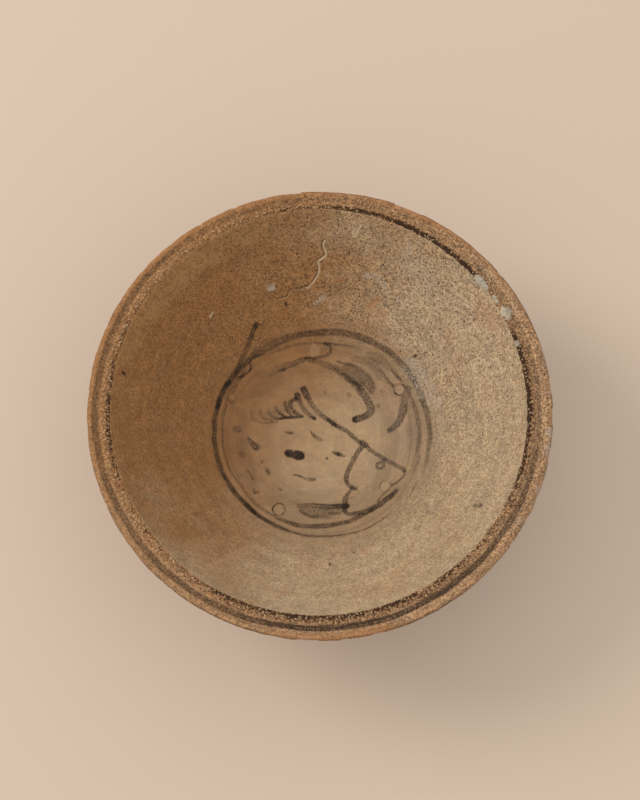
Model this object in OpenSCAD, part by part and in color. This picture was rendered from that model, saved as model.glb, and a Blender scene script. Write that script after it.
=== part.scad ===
// Wide, shallow stoneware tea bowl: a thrown body on a turned foot ring, slipped, painted in
// iron brown, glazed inside and out. It stands on its foot, with the origin under its middle.
// Heights are measured from the table and radii from the bowl's axis, in millimetres.

/* [Bowl] */
// Diameter over the lip
rim_d = 160; // [140:1:190]
// Height from the table to the top of the lip
bowl_h = 58; // [52:1:66]
// Thickness of the wall under the lip, glaze included
wall_t = 5; // [4:0.25:6.5]
// Thickness of the wall where it meets the foot
heel_t = 9.5; // [8:0.25:11]
// Height of the floor's surface at the middle
floor_z = 13.5; // [12.5:0.25:16]
// Roundness of the hollow: lower is more conical, higher has a flatter floor
fullness = 2.3; // [2:0.05:2.6]

/* [Rim] */
// Width of the flat flange between the wall and the lip's outer edge
flange_w = 7.5; // [6:0.25:10]
// Radius of the rounded bead where the wall turns into the flange
bead_r = 1.2; // [0.9:0.1:1.5]
// Radius of the rounded lip
lip_r = 1.6; // [1.2:0.1:2]
// Depth of the shallow groove round the flange
groove_depth = 0.55; // [0.2:0.05:0.8]
// How far the bead's start lies below the top of the lip
ledge_drop = 1.5; // [1:0.1:2.5]

/* [Foot] */
// Diameter of the foot ring
foot_d = 62; // [54:1:70]
// Height of the foot ring
foot_h = 7; // [6:0.25:8]
// Width of the face that the bowl stands on
foot_face_w = 4.5; // [3:0.25:6]
// How much the ring's inside leans outwards, top to bottom
foot_draft = 1.2; // [0.5:0.1:2]
// Chamfer along both edges of the standing face
foot_chamfer = 0.6; // [0.3:0.1:1]

/* [Glaze and slip] */
// Thickness of the glaze
glaze_t = 0.4; // [0.2:0.05:0.6]
// Thickness of the pale slip under the inner glaze
slip_t = 0.3; // [0.2:0.05:0.5]
// Height at which the outer glaze stops, above the table
glaze_stop_z = 17; // [14:0.5:25]
// How far the iron painting stands above the glaze
paint_t = 0.1; // [0.05:0.05:0.2]

/* [Painting and marks] */
// Radius of the wide ring round the well
wide_ring_r = 38.2; // [37:0.1:40]
// Width of the wide ring
wide_ring_w = 2.2; // [1.5:0.1:3]
// Radius of the narrow ring inside it
narrow_ring_r = 35; // [34:0.1:36]
// Width of the narrow ring
narrow_ring_w = 1.2; // [0.8:0.1:1.6]
// Width of the line painted in the flange's groove
rim_line_w = 2.2; // [1.5:0.1:3]
// Diameter of each mark left by the kiln's stacking spur
scar_d = 4.6; // [3.5:0.1:6]

/* [Hidden] */
$fn = 96;

rim_r = rim_d / 2;
foot_r = foot_d / 2;
ledge_r = rim_r - flange_w;
ledge_z = bowl_h - ledge_drop;
wall_steps = 24;
bead_steps = 5;
groove_steps = 8;
lip_steps = 10;

// Directions, in degrees anticlockwise from outwards, between which the bead and the lip are round
bead_end = 75;
lip_start = 115;
lip_end = -45;

// The middle of each spur mark, seen from above: the stack stood a little off the bowl's axis
scars = [[29, 17.5], [-2, 32.5], [-32, 14.5], [-15, -26.5], [23.5, -18.5]];
scar_t = 0.2;

// Each fill: its direction in degrees, the radius of its middle, and its length and width
fills = [
    [39, 73, 9, 2.6],
    [28, 74.4, 6, 3.6]
];
fill_t = 0.15;

// Colours
bare_clay = "#a06f4a";
slip_colour = "#c2a683";
glaze_colour = "#a98a69";
rim_colour = "#a3764f";
iron_brown = "#4a3524";
fill_colour = "#b3aa98";

// Height of the inner glaze's surface at radius r
function hollow_z(r) = floor_z + (ledge_z - floor_z) * pow(r / ledge_r, fullness);

// Steepness of that surface at radius r, in degrees
function hollow_slope(r) =
    atan(fullness * (ledge_z - floor_z) / ledge_r * pow(r / ledge_r, fullness - 1));

// The point at a given depth under the inner surface, square to it
function under_hollow(r, depth) =
    [r + depth * sin(hollow_slope(r)), hollow_z(r) - depth * cos(hollow_slope(r))];

// Thickness of the whole wall at radius r of the hollow: thin at the lip and thick over the foot
function wall_thickness(r) = wall_t + (heel_t - wall_t) * (ledge_r - r) / (ledge_r - foot_r);

function hollow_curve(depth) =
    [for (i = [0:wall_steps]) under_hollow(ledge_r * i / wall_steps, depth)];

// The outside of the wall, from the lip down to the radius given, and depth inside that surface
function outer_curve(depth, low_r) = [
    for (i = [0:wall_steps])
        let (r = ledge_r + (low_r - ledge_r) * i / wall_steps)
            under_hollow(r, wall_thickness(r) - depth)
];

function arc(centre, radius, from, to, steps) = [
    for (i = [0:steps])
        let (a = from + (to - from) * i / steps)
            centre + radius * [cos(a), sin(a)]
];

bead_start = 90 + hollow_slope(ledge_r);
bead_centre = under_hollow(ledge_r, bead_r);
lip_centre = [rim_r - lip_r, bowl_h - lip_r];

// The groove dips between the end of the bead and the start of the lip
function groove_curve(depth) =
    let (
        a = bead_centre + (bead_r - depth) * [cos(bead_end), sin(bead_end)],
        b = lip_centre + (lip_r - depth) * [cos(lip_start), sin(lip_start)]
    )
    [
        for (i = [1:groove_steps - 1])
            let (u = i / groove_steps)
                a + (b - a) * u - [0, groove_depth * sin(180 * u)]
    ];

// Over the bead, the flange and the lip, at a depth under the rim glaze's surface
function rim_curve(depth) = concat(
    arc(bead_centre, bead_r - depth, bead_start, bead_end, bead_steps),
    groove_curve(depth),
    arc(lip_centre, lip_r - depth, lip_start, lip_end, lip_steps)
);

function reversed(points) = [for (i = [len(points) - 1:-1:0]) points[i]];

// Radius of the hollow under which the outside of the wall has come down to height z
function low_r_for(z, low = 0, high = ledge_r, tries = 24) =
    tries == 0 ? (low + high) / 2 :
    let (middle = (low + high) / 2)
        under_hollow(middle, wall_thickness(middle))[1] > z
            ? low_r_for(z, low, middle, tries - 1)
            : low_r_for(z, middle, high, tries - 1);

heel_r = low_r_for(foot_h + 2.5);
glaze_low_r = low_r_for(glaze_stop_z);

// A closed band between two open curves that run the same way
module band(upper, lower) {
    rotate_extrude() polygon(concat(upper, reversed(lower)));
}

// Part of the surface of the hollow or of the flange, raised by thickness, between two radii
surface_line = concat(hollow_curve(0), rim_curve(0));
function surface_z(r) = lookup(r, surface_line);
module raised_ring(r, width, thickness, steps = 3) {
    radii = [for (i = [0:steps]) r - width / 2 + width * i / steps];
    band(
        [for (q = radii) [q, surface_z(q) + thickness]],
        [for (q = radii) [q, surface_z(q)]]
    );
}

module clay_body() {
    color(bare_clay)
        rotate_extrude()
            polygon(concat(
                hollow_curve(glaze_t + slip_t),
                rim_curve(glaze_t),
                outer_curve(glaze_t, heel_r),
                [[foot_r, foot_h], [0, foot_h]]
            ));
}

// The ring leans in a little on both sides, and its standing face is flat
module foot_ring() {
    face_out = foot_r - foot_draft;
    face_in = face_out - foot_face_w;
    color(bare_clay)
        rotate_extrude()
            polygon([
                [foot_r, foot_h],
                [face_out, foot_chamfer],
                [face_out - foot_chamfer, 0],
                [face_in + foot_chamfer, 0],
                [face_in, foot_chamfer],
                [face_in - foot_draft, foot_h]
            ]);
}

module inner_slip() {
    color(slip_colour)
        band(hollow_curve(glaze_t), hollow_curve(glaze_t + slip_t));
}

module inner_glaze() {
    color(glaze_colour)
        band(hollow_curve(0), hollow_curve(glaze_t));
}

module rim_glaze() {
    color(rim_colour)
        band(rim_curve(0), rim_curve(glaze_t));
}

module outer_glaze() {
    lip_edge = [for (depth = [0, glaze_t]) lip_centre + (lip_r - depth) * [cos(lip_end), sin(lip_end)]];
    color(rim_colour)
        band(
            concat([lip_edge[0]], outer_curve(0, glaze_low_r)),
            concat([lip_edge[1]], outer_curve(glaze_t, glaze_low_r))
        );
}

module rim_line() {
    color(iron_brown)
        raised_ring((bead_centre[0] + lip_centre[0]) / 2, rim_line_w, paint_t);
}

module well_ring_wide() {
    color(iron_brown)
        raised_ring(wide_ring_r, wide_ring_w, paint_t);
}

// The spur marks break through the narrow ring where they touch it
module well_ring_narrow() {
    color(iron_brown)
        difference() {
            raised_ring(narrow_ring_r, narrow_ring_w, paint_t);
            scar_columns();
        }
}

// Brush strokes of the motif in the well. Each is its path over the floor, and its width at the
// start, the middle and the end.
strokes = [
    // The back's long arch and the wash behind it
    [
        [[-24, 23], [-14.5, 26.5], [-8, 28.5], [-2.5, 28.7], [3.5, 28], [9.5, 25], [14.5, 20.5]],
        [1.2, 1.7, 2]
    ],
    [[[15, 19.5], [18, 15.5], [19, 11.5], [17, 9], [13, 8]], [2.2, 2.8, 2.6]],
    [[[7.5, 28.5], [12, 26.5], [16.5, 23.4], [19.5, 19]], [0.8, 1.4, 1]],
    [[[31, 14], [29.5, 10], [28, 5.5], [24.5, 2]], [2, 2.6, 1.6]],
    [[[22, 26.5], [23.5, 22.5], [25.3, 20.5]], [0.7, 0.9, 0.7]],
    [[[3, 33.4], [4, 32.4], [3.2, 31.2], [1.4, 30.6]], [1, 0.9, 0.7]],
    // The comb of the fin
    [[[-8, 16.5], [-7, 13], [-2.6, 8.9]], [1.8, 1.6, 1.2]],
    [[[-10.5, 14.5], [-9.5, 11.5], [-6.5, 9]], [1.4, 1.3, 0.9]],
    [[[-13, 13], [-11.5, 10], [-8.4, 8.8]], [1.1, 1, 0.8]],
    [[[-16.5, 11.5], [-14.5, 9.6], [-12.4, 8.5]], [0.8, 0.8, 0.6]],
    [[[-18.5, 10.5], [-17.5, 8], [-13.6, 7.3]], [0.8, 0.7, 0.6]],
    [[[-25, 10.5], [-24.5, 7], [-20, 6]], [0.7, 0.7, 0.6]],
    // The line across the well, and the gill and mouth that hang from it
    [
        [[-6, 18.5], [-2.5, 12.5], [1, 9], [5, 6.5], [9, 4], [13.5, 0], [16, -1.5], [20.5, -4.5],
         [25, -8.5], [29, -12]],
        [2.4, 1.5, 1.4]
    ],
    [[[29.4, -14], [27.2, -17]], [0.9, 0.8, 0.8]],
    [[[15, -3.5], [12.5, -5.5], [10, -10], [9.5, -14], [10.5, -17.5], [12, -18.5]], [1.6, 1.7, 1.6]],
    [[[10.4, -20.4], [9.2, -22.4]], [1.4, 1.4, 1.4]],
    [[[22.4, -9], [21.4, -10.6]], [1.4, 1.6, 1.8]],
    // Under the belly
    [[[9.5, -25], [3.5, -25], [-2, -24.5], [-8, -25]], [2, 2.2, 1.6]],
    [[[-8, -27.5], [-4, -28.5], [1, -29], [6, -29]], [0.8, 1, 0.8]],
    [[[9, -27.2], [10.5, -28.9], [13, -28.8], [16, -27.5]], [1.2, 1.1, 0.8]],
    // The two joined blobs and the scattered dashes
    [[[-12.6, -4.9], [-9.3, -5.3], [-5.8, -5.6]], [2.6, 2.8, 3]],
    [[[-12.5, 3], [-11, 3.2], [-9.5, 3]], [0.8, 1, 0.8]],
    [[[-3, 3], [-1.2, 1.6], [0.5, 0.5]], [0.7, 1.2, 0.9]],
    [[[5, -4], [7, -5], [8.5, -5.5]], [1, 1.4, 0.8]],
    [[[-9.5, -13], [-4.5, -14], [-2.5, -14.5]], [0.6, 0.8, 1.6]],
    [[[-25.5, 0], [-24.3, -1.5], [-23, -3]], [0.8, 1.6, 2.4]],
    [[[-26, -12.5], [-25, -13.7], [-24, -15]], [0.7, 0.8, 1]],
    [[[-19.5, -11.5], [-18.5, -13]], [0.8, 1, 1.2]],
    [[[-23.5, -19], [-22.5, -21]], [1.2, 1.2, 1.2]]
];

// Width at share u of a stroke, from its three widths
function stroke_width(widths, u) = lookup(u, [[0, widths[0]], [0.5, widths[1]], [1, widths[2]]]);

// Each stroke is a thin ribbon that follows the floor
module brush_stroke(path, widths) {
    last = len(path) - 1;
    // Left and right edge at each point of the path, square to its direction there
    edges = [
        for (i = [0:last])
            let (
                along = path[min(i + 1, last)] - path[max(i - 1, 0)],
                side = [-along[1], along[0]] / norm(along) * stroke_width(widths, i / last) / 2
            )
            [path[i] + side, path[i] - side]
    ];
    corners = [
        for (edge = edges)
            for (p = edge)
                for (lift = [0, paint_t])
                    [p[0], p[1], surface_z(norm(p)) + lift]
    ];
    // At step i the corners are 4i left low, 4i+1 left high, 4i+2 right low, 4i+3 right high
    sides = [[0, 2], [2, 3], [3, 1], [1, 0]];
    strips = [
        for (i = [0:last - 1])
            for (s = sides)
                each [
                    [4 * i + s[0], 4 * i + s[1], 4 * i + 4 + s[1]],
                    [4 * i + s[0], 4 * i + 4 + s[1], 4 * i + 4 + s[0]]
                ]
    ];
    ends = [
        [0, 1, 3], [0, 3, 2],
        [4 * last, 4 * last + 2, 4 * last + 3], [4 * last, 4 * last + 3, 4 * last + 1]
    ];
    polyhedron(corners, concat(strips, ends));
}

module well_painting() {
    color(iron_brown)
        for (stroke = strokes)
            brush_stroke(stroke[0], stroke[1]);
}

module scar_columns() {
    for (scar = scars)
        translate([scar[0], scar[1], floor_z])
            cylinder(d = scar_d, h = bowl_h - floor_z, $fn = 48);
}

// Five thin discs of spur clay, cut out of a skin that lies on the well's glaze
module spur_scars() {
    reach = [for (scar = scars) norm(scar)];
    low_r = min(reach) - scar_d;
    high_r = max(reach) + scar_d;
    color(slip_colour)
        intersection() {
            raised_ring((low_r + high_r) / 2, high_r - low_r, scar_t, 12);
            scar_columns();
        }
}

// Oval patches of pale filler where the crust has flaked from the bead
module rim_fills() {
    color(fill_colour)
        for (fill = fills)
            intersection() {
                raised_ring(fill[1], fill[3], fill_t, 8);
                rotate(fill[0])
                    translate([fill[1], 0, ledge_z - fill[2]])
                        cylinder(d = fill[2], h = fill[2] * 2, $fn = 48);
            }
}

clay_body();
foot_ring();
inner_slip();
inner_glaze();
rim_glaze();
outer_glaze();
rim_line();
well_ring_wide();
well_ring_narrow();
well_painting();
spur_scars();
rim_fills();
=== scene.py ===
import math

import bmesh
import bpy
import numpy as np
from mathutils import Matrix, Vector


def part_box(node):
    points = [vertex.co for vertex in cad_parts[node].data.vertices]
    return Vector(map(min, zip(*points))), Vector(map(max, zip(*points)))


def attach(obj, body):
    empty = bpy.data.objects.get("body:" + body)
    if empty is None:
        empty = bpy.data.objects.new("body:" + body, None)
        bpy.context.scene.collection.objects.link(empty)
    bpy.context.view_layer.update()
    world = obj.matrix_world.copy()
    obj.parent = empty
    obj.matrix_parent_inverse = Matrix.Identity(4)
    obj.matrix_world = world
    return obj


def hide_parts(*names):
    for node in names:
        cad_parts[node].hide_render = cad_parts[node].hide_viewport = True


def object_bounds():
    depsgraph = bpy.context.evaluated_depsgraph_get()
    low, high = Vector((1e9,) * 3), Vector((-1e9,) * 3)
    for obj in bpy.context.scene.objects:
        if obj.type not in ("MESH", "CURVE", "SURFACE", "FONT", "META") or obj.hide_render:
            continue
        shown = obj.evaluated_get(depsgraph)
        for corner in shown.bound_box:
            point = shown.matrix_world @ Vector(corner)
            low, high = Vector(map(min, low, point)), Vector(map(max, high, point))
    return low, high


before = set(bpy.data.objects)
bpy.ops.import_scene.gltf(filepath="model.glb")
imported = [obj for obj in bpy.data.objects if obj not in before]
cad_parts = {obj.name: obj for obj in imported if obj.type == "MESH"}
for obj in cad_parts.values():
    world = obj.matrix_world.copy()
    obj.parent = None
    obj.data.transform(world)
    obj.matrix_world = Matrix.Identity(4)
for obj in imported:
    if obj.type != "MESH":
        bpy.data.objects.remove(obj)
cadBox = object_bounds()
print("frame loaded")

# Shapes are worked out in millimetres with numpy, and turned to metres as each mesh is made
perMetre = 1000.0


def turnedPoints(node):
    # Radius and height of every vertex of a turned part
    co = np.array([v.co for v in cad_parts[node].data.vertices]) * perMetre
    return np.hypot(co[:, 0], co[:, 1]), co[:, 2]


hollowR, hollowZ = turnedPoints("inner_glaze")
footHigh = Vector(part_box("foot_ring")[1]) * perMetre
rimTop = cadBox[1].z * perMetre
rimR = cadBox[1].x * perMetre
ledgeZ = hollowZ.max()
ledgeR = hollowR[hollowZ > ledgeZ - 0.01].min()
floorZ = hollowZ[hollowR < 0.5].max()
glazeT = floorZ - hollowZ.min()
glazeStopZ = turnedPoints("outer_glaze")[1].min()
footR, footTop = footHigh.x, footHigh.z

# The camera looks in over the near side of the lip, as at a bowl held out in both hands
view = {"elevation": 74, "distance": 0.684, "lens": 90, "aimAboveRim": 0.00275}

tilt = math.radians(view["elevation"])
outwards = Vector((0, -math.cos(tilt), math.sin(tilt)))
upwards = Vector((0, math.sin(tilt), math.cos(tilt)))
camera = bpy.data.objects.new("camera", bpy.data.cameras.new("camera"))
camera.data.lens = view["lens"]
camera.location = Vector((0, 0, cadBox[1].z)) + view["distance"] * outwards + view["aimAboveRim"] * upwards
camera.rotation_euler = (math.pi / 2 - tilt, 0, 0)
bpy.context.scene.collection.objects.link(camera)
bpy.context.scene.camera = camera
print("camera placed")


# Helpers for shapes

def ramp(value, low, high):
    u = np.clip((value - low) / (high - low), 0, 1)
    return u * u * (3 - 2 * u)


def around(table, degrees):
    # Smooth values between the ones that a table gives by direction, 0 to the right and 90 away
    keys = sorted(table)
    places = np.array([keys[-1] - 360, *keys, keys[0] + 360], float)
    values = np.array([table[keys[-1]], *[table[k] for k in keys], table[keys[0]]], float)
    at = np.mod(degrees, 360)
    i = np.clip(np.searchsorted(places, at, side="right") - 1, 0, len(places) - 2)
    return values[i] + (values[i + 1] - values[i]) * ramp(at, places[i], places[i + 1])


lattice = np.random.default_rng(41).random((256, 256))


def grain(x, y, size, layer=0):
    # Smooth seeded noise from -1 to 1, with features of the given size
    gx, gy = x / size + 31.7 * layer, y / size + 17.3 * layer
    ix, iy = np.floor(gx).astype(int), np.floor(gy).astype(int)
    fx, fy = ramp(gx - ix, 0, 1), ramp(gy - iy, 0, 1)

    def corner(dx, dy):
        return lattice[(ix + dx) % 256, (iy + dy) % 256]

    low = corner(0, 0) * (1 - fx) + corner(1, 0) * fx
    high = corner(0, 1) * (1 - fx) + corner(1, 1) * fx
    return (low * (1 - fy) + high * fy) * 2 - 1


def polar(x, y):
    return np.hypot(x, y), np.degrees(np.arctan2(y, x))


def flatPlace(r, degrees):
    return r * np.cos(np.radians(degrees)), r * np.sin(np.radians(degrees))


def makePiece(name, points, faces, attributes={}):
    mesh = bpy.data.meshes.new(name)
    mesh.from_pydata(np.asarray(points) / perMetre, [], np.asarray(faces).tolist())
    for key, values in attributes.items():
        mesh.attributes.new(key, "FLOAT", "POINT").data.foreach_set(
            "value", np.asarray(values, np.float32).ravel())
    work = bmesh.new()
    work.from_mesh(mesh)
    bmesh.ops.remove_doubles(work, verts=work.verts, dist=0.000001)
    bmesh.ops.recalc_face_normals(work, faces=work.faces)
    work.to_mesh(mesh)
    work.free()
    mesh.polygons.foreach_set("use_smooth", [True] * len(mesh.polygons))
    piece = bpy.data.objects.new(name, mesh)
    bpy.context.scene.collection.objects.link(piece)
    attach(piece, "root")
    return piece


def gridFaces(rows, columns, closedRows=False, closedColumns=False, start=0):
    i = np.arange(rows if closedRows else rows - 1)
    j = np.arange(columns if closedColumns else columns - 1)
    i, j = [v.ravel() for v in np.meshgrid(i, j, indexing="ij")]
    i2, j2 = (i + 1) % rows, (j + 1) % columns
    corners = [i * columns + j, i * columns + j2, i2 * columns + j2, i2 * columns + j]
    return np.stack(corners, 1) + start


# How many steps each turned piece has round the bowl: the finest are the rim's, for its grit
stepsRound = {"innerGlaze": 640, "innerSlip": 160, "rimGlaze": 1440, "rimLine": 1600, "outerGlaze": 720,
              "clayBody": 480, "footRing": 600}


def turned(name, section, shape, attributes=None):
    # A closed piece all the way round the bowl. Each entry of section is what shape needs to know
    # about that point of the outline, and shape gives the radius and height where it lies.
    steps = stepsRound[name]
    a = np.tile(np.arange(steps) * 360 / steps, (len(section), 1))
    columns = [np.tile(c[:, None], (1, steps)) for c in np.array(section, float).T]
    r, z = shape(a, *columns)
    x, y = flatPlace(r, a)
    extra = attributes(x, y) if attributes else {}
    points = np.stack([x, y, z], -1).reshape(-1, 3)
    return makePiece(name, points, gridFaces(len(section), steps, True, True), extra)


def closedPatch(name, top, bottom, closed=False, attributes=None):
    # A thin closed piece between two grids of points; closed joins the last column to the first
    rows, columns = top.shape[:2]
    count = rows * columns
    index = np.arange(count).reshape(rows, columns)
    edges = [index[0], index[-1]] if closed else [index[0], index[:, -1], index[-1][::-1], index[::-1, 0]]
    faces = [gridFaces(rows, columns, False, closed), gridFaces(rows, columns, False, closed, count)]
    for edge in edges:
        here = edge if closed else edge[:-1]
        follow = np.roll(edge, -1) if closed else edge[1:]
        faces.append(np.stack([here, follow, follow + count, here + count], 1))
    extra = {k: np.concatenate([v.ravel(), v.ravel()]) for k, v in (attributes or {}).items()}
    points = np.concatenate([top.reshape(-1, 3), bottom.reshape(-1, 3)])
    return makePiece(name, points, np.concatenate(faces), extra)


def laid(name, x, y, lift, drop=0.12, closed=False, attributes=None):
    # A thin patch that lies on the hollow's surface; x and y are grids of places on it
    z = hollowHeight(x, y)
    top, bottom = np.stack([x, y, z + lift], -1), np.stack([x, y, z - drop], -1)
    return closedPatch(name, top, bottom, closed, attributes)


def discGrid(cx, cy, radius, step):
    # A square grid eased into a disc, which keeps its cells nearly even
    n = int(round(2 * radius / step)) + 1
    u, v = np.meshgrid(np.linspace(-1, 1, n), np.linspace(-1, 1, n), indexing="ij")
    wide = np.abs(u) > np.abs(v)
    r = np.where(wide, u, v)
    safe = np.where(r == 0, 1, r)
    turn = np.where(wide, math.pi / 4 * v / safe, math.pi / 2 - math.pi / 4 * u / safe)
    return cx + radius * r * np.cos(turn), cy + radius * r * np.sin(turn)


def smoothPath(path, perSpan=10):
    # Points of a smooth curve through the path's own points
    p = np.array([2 * np.array(path[0]) - path[1], *path, 2 * np.array(path[-1]) - path[-2]], float)
    found = []
    for i in range(1, len(p) - 2):
        for t in np.arange(perSpan) / perSpan:
            bend = (2 * p[i - 1] - 5 * p[i] + 4 * p[i + 1] - p[i + 2]) * t * t
            twist = (3 * p[i] - p[i - 1] - 3 * p[i + 1] + p[i + 2]) * t ** 3
            found.append(p[i] + 0.5 * ((p[i + 1] - p[i - 1]) * t + bend + twist))
    return np.array([*found, p[-2]])


# The bowl as it was thrown

bowl = {
    "fullness": 2.3,        # roundness of the hollow, as the construction has it
    "slip": 0.3,            # thickness of the slip under the inner glaze
    "wallLip": 5.0,         # thickness of the wall under the lip
    "wallHeel": 9.5,        # and where it meets the foot
    "throwingPitch": 3.1,   # between the rings that the potter's fingers left
    "throwingDepth": 0.035,
    "wobble": 0.25,         # how far the wall strays from a true turned shape
    # How far the ledge strays outwards, by direction: a thrown bowl is never quite round
    "ledgeStray": {0: -1.5, 45: -0.3, 90: 0.9, 135: 0.5, 180: -0.5, 225: -1.0, 270: -1.2, 315: -1.7},
}


def ledgeStray(a, r, start=25):
    return around(bowl["ledgeStray"], a) * ramp(r, start, ledgeR)


def hollowHeight(x, y):
    r, a = polar(x, y)
    rr = np.maximum(r - ledgeStray(a, r), 0)
    z = floorZ + (ledgeZ - floorZ) * (rr / ledgeR) ** bowl["fullness"]
    phase = rr / bowl["throwingPitch"] + 0.9 * grain(rr, 0 * rr, 9, 3) + a / 360
    rings = bowl["throwingDepth"] * np.sin(2 * math.pi * phase) * (0.3 + ramp(rr, 30, 55))
    uneven = bowl["wobble"] * grain(x, y, 21, 1) * ramp(rr, 5, 30) * (1 - ramp(rr, 60, ledgeR))
    return z + rings + uneven + 0.03 * grain(x, y, 2.6, 2) * ramp(rr, 42, 48)


def hollowSlope(r):
    steepest = bowl["fullness"] * (ledgeZ - floorZ) / ledgeR
    return np.arctan(steepest * (np.maximum(r, 0.01) / ledgeR) ** (bowl["fullness"] - 1))


def underHollow(r, depth):
    # The point at a given depth under the true turned hollow, square to its surface
    z = floorZ + (ledgeZ - floorZ) * (np.maximum(r, 0) / ledgeR) ** bowl["fullness"]
    slope = hollowSlope(r)
    return r + depth * np.sin(slope), z - depth * np.cos(slope)


def wallThickness(r):
    return bowl["wallLip"] + (bowl["wallHeel"] - bowl["wallLip"]) * (ledgeR - r) / (ledgeR - footR)


# Painting in the well. Each stroke has its path in mm, its width and its strength of pigment at
# the start, the middle and the end.

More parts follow.
